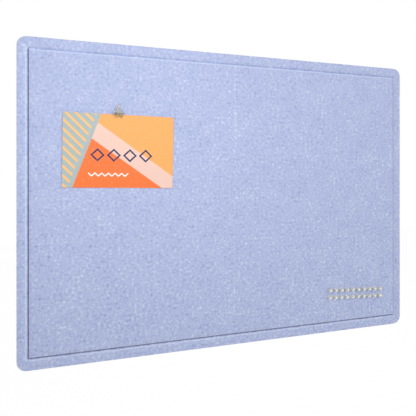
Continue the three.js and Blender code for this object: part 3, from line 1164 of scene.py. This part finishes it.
@dataclass
class FeltBoard:
    """The felt panel with its pressed groove, and the mounting strips on its back.

    Attributes:
        corner_radius: Radius of the panel's corners.
        ease: How far the cut edge is rounded over.
        groove_side_inset: From the panel's side to the top of the groove's slope.
        groove_end_inset: From the panel's top or bottom to the top of that slope.
        groove_slope: Width of the groove's gentle outer slope.
        groove_wall: Width of its steep inner wall.
        groove_depth: Depth of the groove.
        groove_sag: Power that bends the slope, where 1 is straight.
        groove_steps: Steps across the slope, and across the wall.
        inner_inset: From the panel's side to the plain grid inside the groove.
        block: Length along each side that a corner's own points take.
        corner_steps: Steps round a corner.
        pitch: Spacing of the grid.
        crease_depth: Depth of the fold line down the middle.
        crease_reach: Half the width of that line.
        waviness: Size of the slow waves in the pressed face.
        slow_waves: Slow waves in a metre.
        quick_waves: Quicker ones in a metre.
        quick_share: Size of those, as a share of the slow ones.
        hole_radius: Radius of the hole that a needle leaves in the felt.
        hole_depth: Depth of that hole.
        hole_sides: Points round a hole.
        tape: Finish of the mounting strips.
    """

    corner_radius: float = 13 * MM
    ease: float = 0.9 * MM
    groove_side_inset: float = 11.1 * MM
    groove_end_inset: float = 13.4 * MM
    groove_slope: float = 2.8 * MM
    groove_wall: float = 1.8 * MM
    groove_depth: float = 2.9 * MM
    groove_sag: float = 1.3
    groove_steps: int = 9
    inner_inset: float = 20 * MM
    block: float = 24 * MM
    corner_steps: int = 24
    pitch: float = 6 * MM
    crease_depth: float = 0.12 * MM
    crease_reach: float = 1.6 * MM
    waviness: float = 0.1 * MM
    slow_waves: float = 14.0
    quick_waves: float = 35.0
    quick_share: float = 0.5
    hole_radius: float = 0.6 * MM
    hole_depth: float = 9.2 * MM
    hole_sides: int = 12
    tape: FoamTape = FoamTape()

    def __post_init__(self) -> None:
        """Reads the panel's place from the frame."""
        low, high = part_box("felt_panel")
        self.front, self.back = low.y, high.y
        self.half_width = (high.x - low.x) / 2
        self.half_height = (high.z - low.z) / 2
        self.lift = self.groove_end_inset - self.groove_side_inset
        self.foot = self.groove_side_inset + self.groove_slope

    def section(self) -> list[Ring]:
        """Draws the panel's section across its edge and its groove.

        Returns:
            The rings from the middle of the back to the middle of the face.
        """
        front, back, ease = self.front, self.back, self.ease
        rings = [Ring(self.inner_inset, back), Ring(self.corner_radius / 2, back)]
        rings += [Ring(ease - x, back - ease + y) for x, y in arc((0, 0), ease, 90, 0, steps=4)]
        rings += [Ring(0.0, (front + back) / 2)]
        rings += [Ring(ease - x, front + ease + y) for x, y in arc((0, 0), ease, 0, -90, steps=6)]
        rings += [Ring(self.corner_radius / 2, front)]
        shares = [step / self.groove_steps for step in range(self.groove_steps + 1)]
        for share in shares:
            inset = self.groove_side_inset + share * self.groove_slope
            deep = self.groove_depth * share ** self.groove_sag
            rings.append(Ring(inset, front + deep, self.lift))
        for share in shares[1:]:
            deep = self.groove_depth * (1 + math.cos(math.pi * share)) / 2
            rings.append(Ring(self.foot + share * self.groove_wall, front + deep, self.lift))
        return [*rings, Ring(self.inner_inset, front, self.lift)]

    def relief(self, x: float, z: float) -> float:
        """Works out how deep the pressed face lies at a place: its slow waves and its fold line.

        Args:
            x: Place across the panel.
            z: Place up the panel.

        Returns:
            The depth, 0 at the groove.
        """
        away = min(self.half_width - abs(x), self.half_height - self.lift - abs(z)) - self.inner_inset
        fade = min(1.0, max(0.0, away / self.block))
        waves = noise.noise(Vector((x, 0, z)) * self.slow_waves)
        waves += self.quick_share * noise.noise(Vector((x, 1, z)) * self.quick_waves)
        fold = max(0.0, 1 - abs(x) / self.crease_reach)
        return fade * (self.waviness * waves + self.crease_depth * fold * fold)

    def _needle_holes(self, places: Sequence[Vector]) -> bmesh.types.BMesh:
        """Makes the shapes of the blind holes that the needles stand in.

        Args:
            places: Where the needles stand.

        Returns:
            The shapes, which run out over the panel's face.
        """
        work = bmesh.new()
        overrun = self.groove_depth
        lying = Matrix.Rotation(math.pi / 2, 4, "X")
        for place in places:
            middle = Vector((place.x, self.front + (self.hole_depth - overrun) / 2, place.z))
            bmesh.ops.create_cone(
                work,
                cap_ends=True,
                segments=self.hole_sides,
                radius1=self.hole_radius,
                radius2=self.hole_radius,
                depth=self.hole_depth + overrun,
                matrix=Matrix.Translation(middle) @ lying,
            )
        return work

    def build(self, needles: Sequence[Vector]) -> bpy.types.Object:
        """Builds the felt panel.

        Args:
            needles: Places where needles stand in the felt.

        Returns:
            The panel.
        """
        reach = self.crease_reach
        plate = RoundedPlate(
            half_width=self.half_width,
            half_height=self.half_height,
            corner_radius=self.corner_radius,
            block=self.block,
            corner_steps=self.corner_steps,
            pitch=self.pitch,
            extra_columns=(-reach, -reach / 2, 0.0, reach / 2, reach),
        )
        panel = mesh_object("pressed_felt", plate.mesh(self.section(), self.relief))
        return cut_away(panel, self._needle_holes(needles))

    def strips(self) -> list[bpy.types.Object]:
        """Returns the mounting strips, which stay the frame's own nodes."""
        return [node for name, node in frame["nodes"].items() if name.startswith("mounting_strip")]

    def dress(self, panel: bpy.types.Object) -> None:
        """Gives the felt and the strips their finishes and ties the felt to its body.

        Args:
            panel: The felt panel.
        """
        reach = (self.half_width - self.foot, self.half_height - self.foot - self.lift)
        middle = (self.front + self.back) / 2
        felt = HeatheredFelt(reach, self.groove_slope, self.groove_wall, middle)
        coat(panel, felt.material())
        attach(panel, "board")
        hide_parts("felt_panel")
        tape = self.tape.material()
        for node in self.strips():
            coat(node, tape)


@dataclass
class PushPin:
    """One push pin: a turned clear head and its steel needle.

    Attributes:
        name: Name of the pin, which its two nodes and its body share.
        waist_radius: Radius of the head's waist.
        crown_radius: Radius of the head's crown.
        crown_height: Height of the crown's straight side.
        dome: Rise of the crown's top.
        flange_height: Height of the flange at its rim.
        rim: Rounding of the rims.
        cove: Radius of the hollow under the crown.
        flare: Power that bends the waist out to the flange.
        flare_steps: Steps along that bend.
        bore_clearance: Gap between the needle and the head.
        root_depth: How deep the needle stands in the head.
        point_length: Length of the needle's point.
        point_ring: Radius of the ring half-way down the point, as a share of the needle's, and its
            place as a share of the point.
        tip: Radius of the point's tip, as a share of the needle's.
    """

    name: str
    waist_radius: float = 1.6 * MM
    crown_radius: float = 2.4 * MM
    crown_height: float = 1.2 * MM
    dome: float = 0.15 * MM
    flange_height: float = 0.9 * MM
    rim: float = 0.35 * MM
    cove: float = 0.45 * MM
    flare: float = 2.6
    flare_steps: int = 7
    bore_clearance: float = 0.05 * MM
    root_depth: float = 4.0 * MM
    point_length: float = 2.0 * MM
    point_ring: Flat = (0.8, 0.3)
    tip: float = 0.08

    def __post_init__(self) -> None:
        """Reads the pin's place and outer sizes from the frame."""
        head_low, head_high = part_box(f"{self.name}_head")
        needle_low, needle_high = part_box(f"{self.name}_needle")
        self.height = head_high.y - head_low.y
        self.flange_radius = (head_high.x - head_low.x) / 2
        self.needle_radius = (needle_high.x - needle_low.x) / 2
        self.needle_reach = needle_high.y - head_high.y
        centre = (head_low + head_high) / 2
        self.seat = Vector((centre.x, head_high.y, centre.z))

    def head_profile(self) -> list[Flat]:
        """Draws the head's profile, from the middle of the crown round to the end of the bore.

        Returns:
            Radius and place along Y of each point.
        """
        rim, crown, waist = self.rim, self.crown_radius, self.waist_radius
        edge = self.flange_radius - rim
        top, shoulder = -self.height, self.crown_height - self.height
        bore = self.needle_radius + self.bore_clearance
        bore_end = -self.root_depth - self.bore_clearance
        points = [(0.0, top), (crown / 2, top + self.dome / 4)]
        points += arc((crown - rim, top + self.dome + rim), rim, -80, 0, steps=6)
        points += arc((crown - rim, shoulder - rim), rim, 0, 80, steps=4)
        points += arc((waist + self.cove, shoulder + self.cove), self.cove, -100, -180, steps=5)
        neck = shoulder + 2 * self.cove
        for step in range(self.flare_steps + 1):
            share = step / self.flare_steps
            out = (edge - waist) * share ** self.flare
            points.append((waist + out, neck - (self.flange_height + neck) * share))
        points += arc((edge, rim - self.flange_height), rim, -75, 0, steps=4)
        points += arc((edge, -rim), rim, 0, 90, steps=4)
        points += [(bore + rim, 0.0), (bore, -rim / 2), (bore, bore_end)]
        return [*points, (0.0, bore_end - self.bore_clearance)]

    def needle_profile(self) -> list[Flat]:
        """Draws the needle's profile, from its root in the head to its point.

        Returns:
            Radius and place along Y of each point.
        """
        radius, chamfer = self.needle_radius, self.needle_radius / 4
        taper = self.needle_reach - self.point_length
        points = [(0.0, -self.root_depth), (radius - chamfer, -self.root_depth)]
        points += [(radius, chamfer - self.root_depth), (radius, taper)]
        points += [(radius * self.point_ring[0], taper + self.point_length * self.point_ring[1])]
        points += [(radius * self.tip, self.needle_reach - chamfer / 2)]
        return [*points, (0.0, self.needle_reach)]


class PinPart(Enum):
    """Piece of a push pin."""

    HEAD = "head"
    NEEDLE = "needle"


@dataclass
class PinMaker:
    """Makes pins that share one turned head and one needle.

    Attributes:
        plastic: Finish of the heads.
        steel: Finish of the needles.
        head_sides: Points round a head.
        needle_sides: Points round a needle.
        sharpest: Angle in degrees up to which a pin is shaded smooth.
        meshes: Meshes made so far.
    """

    plastic: ClearPlastic
    steel: PlatedSteel = PlatedSteel(Plating.NICKEL)
    head_sides: int = 40
    needle_sides: int = 20
    sharpest: float = 50.0
    meshes: dict[PinPart, bpy.types.Mesh] = field(default_factory=dict)

    def _piece(self, name: str, part: PinPart, profile: Sequence[Flat], sides: int) -> bpy.types.Object:
        """Makes one part of a pin, and its mesh if it is the first.

        Args:
            name: Name of the piece.
            part: The part that it is.
            profile: Its profile.
            sides: Points round it.

        Returns:
            The piece.
        """
        if part in self.meshes:
            return placed(name, self.meshes[part])
        first = mesh_object(name, revolved(profile, sides), self.sharpest)
        finish = self.plastic if part is PinPart.HEAD else self.steel
        coat(first, finish.material())
        self.meshes[part] = first.data
        return first

    def build(self, pin: PushPin) -> list[bpy.types.Object]:
        """Builds a pin where the frame has it.

        Args:
            pin: The pin.

        Returns:
            Its head and its needle.
        """
        head_name, needle_name = f"{pin.name}_moulding", f"{pin.name}_point"
        head = self._piece(head_name, PinPart.HEAD, pin.head_profile(), self.head_sides)
        needle = self._piece(needle_name, PinPart.NEEDLE, pin.needle_profile(), self.needle_sides)
        head.location = needle.location = pin.seat
        return [head, needle]

    def dress(self, pin: PushPin, pieces: Sequence[bpy.types.Object]) -> None:
        """Ties a pin's pieces to its body and hides its nodes.

        Args:
            pin: The pin.
            pieces: Its head and its needle.
        """
        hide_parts(f"{pin.name}_head")
        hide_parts(f"{pin.name}_needle")
        for made in pieces:
            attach(made, pin.name)


@dataclass
class PivotLine:
    """The line that a piece of the clip turns about, where the frame's joint has it.

    Attributes:
        joint: Name of the joint.
    """

    joint: str

    def __post_init__(self) -> None:
        """Reads the line's middle and its tilt from level."""
        found = joint_named(self.joint)
        self.middle = Vector(found["pos_m"])
        self.tilt = math.atan2(-found["axis"][2], found["axis"][0])

    def points(self, node: str) -> list[Vector]:
        """Returns a node's points seen from the line's middle, with the line turned level."""
        plumb = Matrix.Rotation(-self.tilt, 3, "Y")
        return [plumb @ (vert.co - self.middle) for vert in frame["nodes"][node].data.vertices]

    def stand(self, lean: float) -> Matrix:
        """Returns the move that leans an upright piece and sets it on the line."""
        turn = Matrix.Rotation(self.tilt, 4, "Y") @ Matrix.Rotation(lean, 4, "X")
        return Matrix.Translation(self.middle) @ turn


@dataclass
class WireHandle:
    """One bent wire handle of the clip.

    Attributes:
        name: Name of the new piece.
        node: Its node.
        body: The body that it rides on.
        joint: The joint whose place is the handle's pivot line.
        reach: From the pivot line to the middle of the loop.
        leg_offset: Half the distance between the legs at the pivot line.
        loop_radius: Radius of the loop's middle line.
        opening: Angle below level at which the loop meets its legs, in degrees.
        bend: Length that the bends at the foot and the neck take of each run.
        sides: Points round the wire.
        steps: Steps along a bend.
    """

    name: str
    node: str
    body: str
    joint: str
    reach: float = 12.5 * MM
    leg_offset: float = 2.2 * MM
    loop_radius: float = 2.9 * MM
    opening: float = 38.0
    bend: float = 0.9 * MM
    sides: int = 14
    steps: int = 12

    def __post_init__(self) -> None:
        """Reads the pivot, the wire's radius and the handle's lean from the frame."""
        self.pivot = PivotLine(self.joint)
        points = self.pivot.points(self.node)
        self.half_length = max(point.x for point in points)
        middle = sum(points, Vector()) / len(points)
        self.lean = math.atan2(-middle.y, middle.z)
        flat = Matrix.Rotation(-self.lean, 3, "X")
        self.wire_radius = max(abs((flat @ point).y) for point in points)

    def route(self) -> list[Vector]:
        """Draws the wire's middle line, from one end over the loop to the other.

        Returns:
            Its points, with the pivot line at the origin and the loop straight above it.
        """
        opening = math.radians(self.opening)
        down, across = math.sin(opening), math.cos(opening)
        meeting = Vector((self.loop_radius * across, 0, self.reach - self.loop_radius * down))
        neck = meeting - Vector((down, 0, across)) * self.bend
        foot = Vector((self.leg_offset, 0, 0))
        leg = (neck - foot).normalized() * self.bend
        side = [Vector((self.half_length, 0, 0))]
        side += rounded(foot + Vector((self.bend, 0, 0)), foot, foot + leg, self.steps)
        side += rounded(neck - leg, neck, meeting, self.steps)
        turn = self.opening + 180
        circle = arc((0, self.reach), self.loop_radius, -self.opening, turn, 3 * self.steps)
        loop = [Vector((x, 0, z)) for x, z in circle[1:-1]]
        return [*side, *loop, *[Vector((-p.x, 0, p.z)) for p in reversed(side)]]

    def _stations(self) -> list[tuple[Vector, float, Vector]]:
        """Lists the wire's cross-sections, with two at each end that ease its rim.

        Returns:
            Middle, radius and direction of each.
        """
        route = self.route()
        last = len(route) - 1
        ease = self.wire_radius / 4
        stations = []
        for place, point in enumerate(route):
            along = (route[min(place + 1, last)] - route[max(place - 1, 0)]).normalized()
            stations.append((point, self.wire_radius, along))
        first, final = stations[0], stations[-1]
        start = [(first[0], self.wire_radius - ease, first[2])]
        start += [(first[0] + first[2] * ease, self.wire_radius, first[2])]
        end = [(final[0] - final[2] * ease, self.wire_radius, final[2])]
        end += [(final[0], self.wire_radius - ease, final[2])]
        return [*start, *stations[1:-1], *end]

    def build(self) -> bpy.types.Object:
        """Builds the handle as a round wire along its route, with eased ends.

        Returns:
            The handle.
        """
        work = bmesh.new()
        depth = Vector((0, 1, 0))
        rings = []
        for point, radius, along in self._stations():
            side = along.cross(depth)
            turns = arc((0, 0), radius, 0, 360, self.sides)[:-1]
            rings.append([work.verts.new(point + side * x + depth * y) for x, y in turns])
        closed_rings(work, rings)
        work.transform(self.pivot.stand(self.lean))
        return mesh_object(self.name, work, smooth=50.0)


def handle_pair() -> tuple[WireHandle, WireHandle]:
    """Returns the clip's rear and front handles."""
    rear = WireHandle("rear_wire", "clip_rear_handle", "rear_handle", "clip_lean")
    return rear, WireHandle("front_wire", "clip_front_handle", "front_handle", "front_handle_fold")


@dataclass
class ClipBody:
    """The clip's body: one strip of spring steel with a spine, two faces and two rolled jaws.

    Attributes:
        sheet: Thickness of the strip.
        face: Length of a face, from the spine's corner to the start of its roll.
        spine: Depth of the spine.
        spine_bend: Length that the bend beside the spine takes of each run.
        roll: Outer radius of a rolled jaw.
        mouth: Gap between the two rolls.
        sweep: How far a jaw is rolled, in degrees.
        side_bar: Width of the bar beside a window.
        centre_bar: Width of the bar between the two windows.
        sill: Height of a face's bar under a window, over the roll.
        lintel: Height of the bar above a window, under the spine's bend.
        notch: Half the width of the notch that parts a roll into two tubes.
        notch_gap: How far the notch reaches above the roll.
        notch_corner: Radius of the notch's corners.
        edge_round: Rounding of the sheared edges.
        edge_angle: Angle in degrees above which an edge is a sheared one.
        edge_steps: Steps across that rounding.
        bend_steps: Steps along a bend, and round a window's arch.
        roll_steps: Steps round a roll.
    """

    sheet: float = 0.4 * MM
    face: float = 8.2 * MM
    spine: float = 5.6 * MM
    spine_bend: float = 0.9 * MM
    roll: float = 0.95 * MM
    mouth: float = 0.7 * MM
    sweep: float = 285.0
    side_bar: float = 1.3 * MM
    centre_bar: float = 1.5 * MM
    sill: float = 1.2 * MM
    lintel: float = 1.0 * MM
    notch: float = 2.95 * MM
    notch_gap: float = 0.35 * MM
    notch_corner: float = 0.8 * MM
    edge_round: float = 0.06 * MM
    edge_angle: float = 50.0
    edge_steps: int = 2
    bend_steps: int = 10
    roll_steps: int = 44

    def __post_init__(self) -> None:
        """Reads the clip's place, its width and how it stands from the frame."""
        self.pivot = PivotLine("clip_lean")
        self.half_width = max(point.x for point in self.pivot.points("clip_body"))
        self.half_mouth = math.asin((self.spine - self.mouth) / 2 / self.face)
        self.spacing = (2 * self.roll + self.mouth) / math.cos(self.half_mouth)
        self.lean = math.asin(joint_named("card_pull")["axis"][1]) + self.half_mouth

    def half_line(self) -> list[Vector]:
        """Draws the middle line of the strip's front half, from the spine to the roll's free end.

        Returns:
            Its points, each forward of the clip's mid-plane and up over the rolls.
        """
        radius = self.roll - self.sheet / 2
        up = Vector((math.sin(self.half_mouth), math.cos(self.half_mouth)))
        out = Vector((math.cos(self.half_mouth), -math.sin(self.half_mouth)))
        foot = Vector((self.spacing / 2, 0)) - out * radius
        corner = foot + up * self.face
        bend = Vector((corner.x - self.spine_bend, corner.y))
        line = [Vector((0, corner.y))]
        line += rounded(bend, corner, corner - up * self.spine_bend, self.bend_steps)
        start = 180 - math.degrees(self.half_mouth)
        roll = arc((self.spacing / 2, 0), radius, start, start + self.sweep, self.roll_steps)
        return [*line, *[Vector(point) for point in roll]]

    def _strip(self) -> bmesh.types.BMesh:
        """Bends the strip along its line, from one roll's free end over the spine to the other's.

        Returns:
            The closed strip, with the rear roll's middle at its origin.
        """
        front = self.half_line()
        line = [*[Vector((-p.x, p.y)) for p in reversed(front[1:])], *front]
        work = bmesh.new()
        rings = []
        for place, point in enumerate(line):
            before, after = line[max(place - 1, 0)], line[min(place + 1, len(line) - 1)]
            arriving, leaving = (point - before).normalized(), (after - point).normalized()
            along = (arriving + leaving).normalized()
            spread = max(along.dot(arriving), along.dot(leaving))
            side = Vector((-along.y, along.x)) * (self.sheet / 2 / spread)
            ring = []
            for flat, x in ((point + side, 1), (point + side, -1), (point - side, -1), (point - side, 1)):
                ring.append(work.verts.new((x * self.half_width, -flat.x - self.spacing / 2, flat.y)))
            rings.append(ring)
        closed_rings(work, rings)
        return work

    def _through(self, work: bmesh.types.BMesh, outline: Sequence[Flat]) -> None:
        """Adds a shape that runs from front to back through both faces.

        Args:
            work: The mesh that it goes to.
            outline: Its outline, across and up.
        """
        near, far = -self.spacing / 2 - 2 * self.spine, 2 * self.spine - self.spacing / 2
        rings = [[work.verts.new((x, y, z)) for x, z in outline] for y in (near, far)]
        closed_rings(work, rings)

    def _openings(self) -> bmesh.types.BMesh:
        """Makes the shapes of the two arched windows and of the notch.

        Returns:
            The shapes.
        """
        work = bmesh.new()
        wide = (2 * self.half_width - 2 * self.side_bar - self.centre_bar) / 4
        bottom = self.roll + self.sill
        spine_top = self.half_line()[0].y + self.sheet / 2
        spring = spine_top - self.spine_bend - self.lintel - wide
        for middle in (-self.centre_bar / 2 - wide, self.centre_bar / 2 + wide):
            arch = arc((middle, spring), wide, 0, 180, 2 * self.bend_steps)
            self._through(work, [(middle - wide, bottom), (middle + wide, bottom), *arch])
        corner, top, low = self.notch_corner, self.roll + self.notch_gap, -2 * self.roll
        side = self.notch - corner
        right = arc((side, top - corner), corner, 0, 90, self.bend_steps)
        left = arc((-side, top - corner), corner, 90, 180, self.bend_steps)
        self._through(work, [(-self.notch, low), (self.notch, low), *right, *left])
        return work

    def build(self) -> bpy.types.Object:
        """Builds the body, with its origin on the rear roll's middle line.

        Returns:
            The body.
        """
        body = cut_away(mesh_object("clip_spring", self._strip()), self._openings())
        eased = body.modifiers.new("sheared_edges", "BEVEL")
        eased.width = self.edge_round
        eased.segments = self.edge_steps
        eased.limit_method = "ANGLE"
        eased.angle_limit = math.radians(self.edge_angle)
        body.modifiers.new("even_shading", "WEIGHTED_NORMAL").keep_sharp = True
        applied(body)
        body.matrix_world = self.pivot.stand(self.lean)
        return body


@dataclass
class BinderClip:
    """The hollow binder clip: its spring-steel body and its two wire handles.

    Attributes:
        body: Sizes of the body.
        handles: Sizes of the rear and the front handle.
        plate: Finish of the body, olive at the jaws, with a grey reflection painted along the spine.
        wire: Finish of the handles.
    """

    body: ClipBody = field(default_factory=ClipBody)
    handles: Sequence[WireHandle] = field(default_factory=handle_pair)
    # The grey towards the spine is a painted reflection.
    plate: PlatedSteel = PlatedSteel(Plating.OLIVE_GOLD, Plating.SPINE_PAINTED_GREY)
    wire: PlatedSteel = PlatedSteel(Plating.CHAMPAGNE, roughness=0.34)

    def build(self) -> list[bpy.types.Object]:
        """Builds the body and then the handles, in order."""
        return [self.body.build(), *[handle.build() for handle in self.handles]]

    def dress(self, pieces: Sequence[bpy.types.Object]) -> None:
        """Plates the pieces and ties them to their bodies.

        Args:
            pieces: The body and the handles.
        """
        body, *wires = pieces
        coat(body, self.plate.material())
        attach(body, "clip")
        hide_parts("clip_body")
        finish = self.wire.material()
        for made, handle in zip(wires, self.handles):
            coat(made, finish)
            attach(made, handle.body)
            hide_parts(handle.node)


@dataclass
class Postcard:
    """The printed card that hangs in the clip's jaws.

    Attributes:
        corner_radius: Radius of its corners.
        edge: Rounding of its cut edge.
        curl: How far its lower corners bow away from the felt.
        bow_shares: Shares of that bow that grow with the square and with the fourth power of the
            place across.
        grip: Height at its top that the jaws keep flat.
        inner: From its side to the plain grid.
        block: Length along each side that a corner's own points take.
        corner_steps: Steps round a corner.
        pitch: Spacing of the grid.
        finish: Its print.
    """

    corner_radius: float = 0.8 * MM
    edge: float = 0.06 * MM
    curl: float = 0.9 * MM
    bow_shares: Flat = (0.35, 0.65)
    grip: float = 8 * MM
    inner: float = 2.5 * MM
    block: float = 4 * MM
    corner_steps: int = 12
    pitch: float = 4 * MM
    finish: PrintedCard = PrintedCard()

    def __post_init__(self) -> None:
        """Reads the card's place and sizes from the frame, in the plane that it hangs in."""
        down = Vector(joint_named("card_pull")["axis"]).normalized()
        self.lean = math.asin(down.y)
        self.tilt = math.atan2(-down.x, -down.z)
        self.upright = Matrix.Rotation(self.tilt, 4, "Y") @ Matrix.Rotation(self.lean, 4, "X")
        points = [self.upright.inverted() @ vert.co for vert in frame["nodes"]["postcard"].data.vertices]
        low = Vector([min(point[axis] for point in points) for axis in range(3)])
        high = Vector([max(point[axis] for point in points) for axis in range(3)])
        self.centre = (low + high) / 2
        self.half_size = (high - low) / 2

    def bow(self, x: float, z: float) -> float:
        """Works out how far the card stands off its flat plane, towards the viewer.

        Args:
            x: Place across the card.
            z: Place up the card.

        Returns:
            The distance, greatest at the lower corners.
        """
        share = (self.half_size.z - self.grip - z) / (2 * self.half_size.z - self.grip)
        drop = min(1.0, max(0.0, share))
        across = x / self.half_size.x
        square, fourth = self.bow_shares
        return self.curl * drop * drop * (square * across * across + fourth * across ** 4)

    def build(self) -> bpy.types.Object:
        """Builds the card, with its origin at its middle.

        Returns:
            The card.
        """
        half, edge = self.half_size, self.edge
        plate = RoundedPlate(
            half_width=half.x,
            half_height=half.z,
            corner_radius=self.corner_radius,
            block=self.block,
            corner_steps=self.corner_steps,
            pitch=self.pitch,
        )
        section = [Ring(self.inner, half.y), Ring(edge, half.y), Ring(0.0, half.y - edge)]
        section += [Ring(0.0, edge - half.y), Ring(edge, -half.y), Ring(self.inner, -half.y)]
        work = plate.mesh(section, level)
        for vert in work.verts:
            vert.co.y -= self.bow(vert.co.x, vert.co.z)
        card = mesh_object("printed_postcard", work, smooth=40.0)
        card.matrix_world = self.upright @ Matrix.Translation(self.centre)
        return card

    def dress(self, card: bpy.types.Object) -> None:
        """Prints the card and ties it to its body.

        Args:
            card: The card.
        """
        coat(card, self.finish.material())
        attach(card, "card")
        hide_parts("postcard")


@dataclass(frozen=True)
class Lamp:
    """One square area lamp.

    Attributes:
        name: Its name.
        place: Where it stands.
        target: The point that it faces.
        size: Length of its side.
        power: Power in watts.
    """

    name: str
    place: Triple
    target: Triple
    size: float
    power: float

    def build(self) -> None:
        """Hangs the lamp."""
        data = bpy.data.lights.new(self.name, "AREA")
        data.size = self.size
        data.energy = self.power
        lamp = placed(self.name, data)
        lamp.location = self.place
        towards = Vector(self.target) - Vector(self.place)
        lamp.rotation_euler = towards.to_track_quat("-Z", "Y").to_euler()


@dataclass
class Studio:
    """Camera, lamps, floor and white surround.

    Attributes:
        camera_place: Where the camera stands.
        camera_turn: How far it is turned to the right of straight ahead, in degrees.
        lens: Focal length in millimetres.
        sensor: Width of the sensor in millimetres.
        shift: Shift of the picture across and up, as shares of its width.
        nearest: The nearest that the camera sees.
        floor_drop: How far the floor lies below the board.
        floor_reach: Half the width of the floor.
        floor_colour: Colour of the floor.
        floor_glow: Share of plain white in what the floor shows the eye.
        ambient: Strength of the surround on matt surfaces, where 1 is white.
        lamps: A soft lamp close to the board's left half, a far one at the upper right, and a
            soft one behind it.
    """

    camera_place: Triple = (-0.1203, -0.5186, 0.0420)
    camera_turn: float = 14.12
    lens: float = 28.6
    sensor: float = 36.0
    shift: Flat = (-0.0769, -0.0846)
    nearest: float = 10 * MM
    floor_drop: float = 0.6
    floor_reach: float = 4.0
    floor_colour: Colour = (0.86, 0.86, 0.86)
    floor_glow: float = 0.985
    ambient: float = 0.276
    lamps: Sequence[Lamp] = (
        Lamp("left_lamp", (-0.22, -0.46, 0.19), target=(-0.05, 0, 0.03), size=0.35, power=1.0),
        Lamp("right_lamp", (1.2, -1.8, 1.0), target=(0, 0, 0), size=1.4, power=28.0),
        Lamp("back_lamp", (0.5, 1.7, 0.8), target=(0, 0, 0), size=1.0, power=30.0),
    )

    def _camera(self) -> None:
        """Sets the camera at the photograph's angle."""
        data = bpy.data.cameras.new("camera")
        data.lens = self.lens
        data.sensor_width = self.sensor
        data.shift_x, data.shift_y = self.shift
        data.clip_start = self.nearest
        camera = placed("camera", data)
        camera.location = self.camera_place
        camera.rotation_euler = (math.pi / 2, 0, -math.radians(self.camera_turn))
        bpy.context.scene.camera = camera

    def _surround(self) -> None:
        """Makes the world white to the eye and in reflections, and softer on matt surfaces."""
        world = bpy.data.worlds.new("surround")
        world.use_nodes = True
        bpy.context.scene.world = world
        sheet = NodeSheet(world.node_tree)
        strength = sheet.seen() * (1 - self.ambient) + self.ambient
        light = sheet.node("ShaderNodeBackground", {}, {"Color": (1, 1, 1), "Strength": strength})
        sheet.node("ShaderNodeOutputWorld", {}, {"Surface": light.outputs[0]})

    def _floor(self) -> None:
        """Lays a pale floor below the board that is white to the eye and keeps a soft shadow."""
        work = bmesh.new()
        half, height = self.floor_reach, CAD_BOX[0].z - self.floor_drop
        corners = [(-half, -half), (half, -half), (half, half), (-half, half)]
        work.faces.new([work.verts.new((x, y, height)) for x, y in corners])
        floor = mesh_object("studio_floor", work)
        sheet = FinishSheet("pale_floor")
        sheet.shade({"Base Color": self.floor_colour, "Roughness": 0.9})
        glow = sheet.node("ShaderNodeEmission", {}, {"Color": (1, 1, 1), "Strength": 1.0})
        inputs = {0: sheet.seen() * self.floor_glow, 1: sheet.shader.outputs[0], 2: glow.outputs[0]}
        mix = sheet.node("ShaderNodeMixShader", {}, inputs)
        sheet.feed(sheet.end, {"Surface": mix.outputs[0]})
        coat(floor, sheet.material)

    def build(self) -> None:
        """Sets up the whole studio."""
        bpy.context.scene.view_settings.view_transform = "Standard"
        self._camera()
        for lamp in self.lamps:
            lamp.build()
        self._surround()
        self._floor()


def report(pieces: Sequence[bpy.types.Object]) -> None:
    """Logs the name and the number of faces of each piece."""
    for piece in pieces:
        log.info("%s with %d faces", piece.name, len(piece.data.polygons))


def main() -> None:
    """Builds, dresses and reports the board, its pins, its clip and its card, after the studio."""
    logging.basicConfig(level=logging.INFO, format="%(name)s: %(message)s")
    Studio().build()
    names = sorted(n.removesuffix("_head") for n in frame["nodes"] if n.endswith("_head"))
    pins = [PushPin(name) for name in names]
    board = FeltBoard()
    panel = board.build([pin.seat for pin in pins])
    board.dress(panel)
    report([panel, *board.strips()])
    spare_maker, hanging_maker = PinMaker(IVORY), PinMaker(WATER_CLEAR)
    for pin in pins:
        maker = hanging_maker if pin.name == "hanging_pin" else spare_maker
        pieces = maker.build(pin)
        maker.dress(pin, pieces)
        report(pieces)
    clip = BinderClip()
    pieces = clip.build()
    clip.dress(pieces)
    report(pieces)
    postcard = Postcard()
    card = postcard.build()
    postcard.dress(card)
    report([card])


if __name__ == "__main__":
    main()
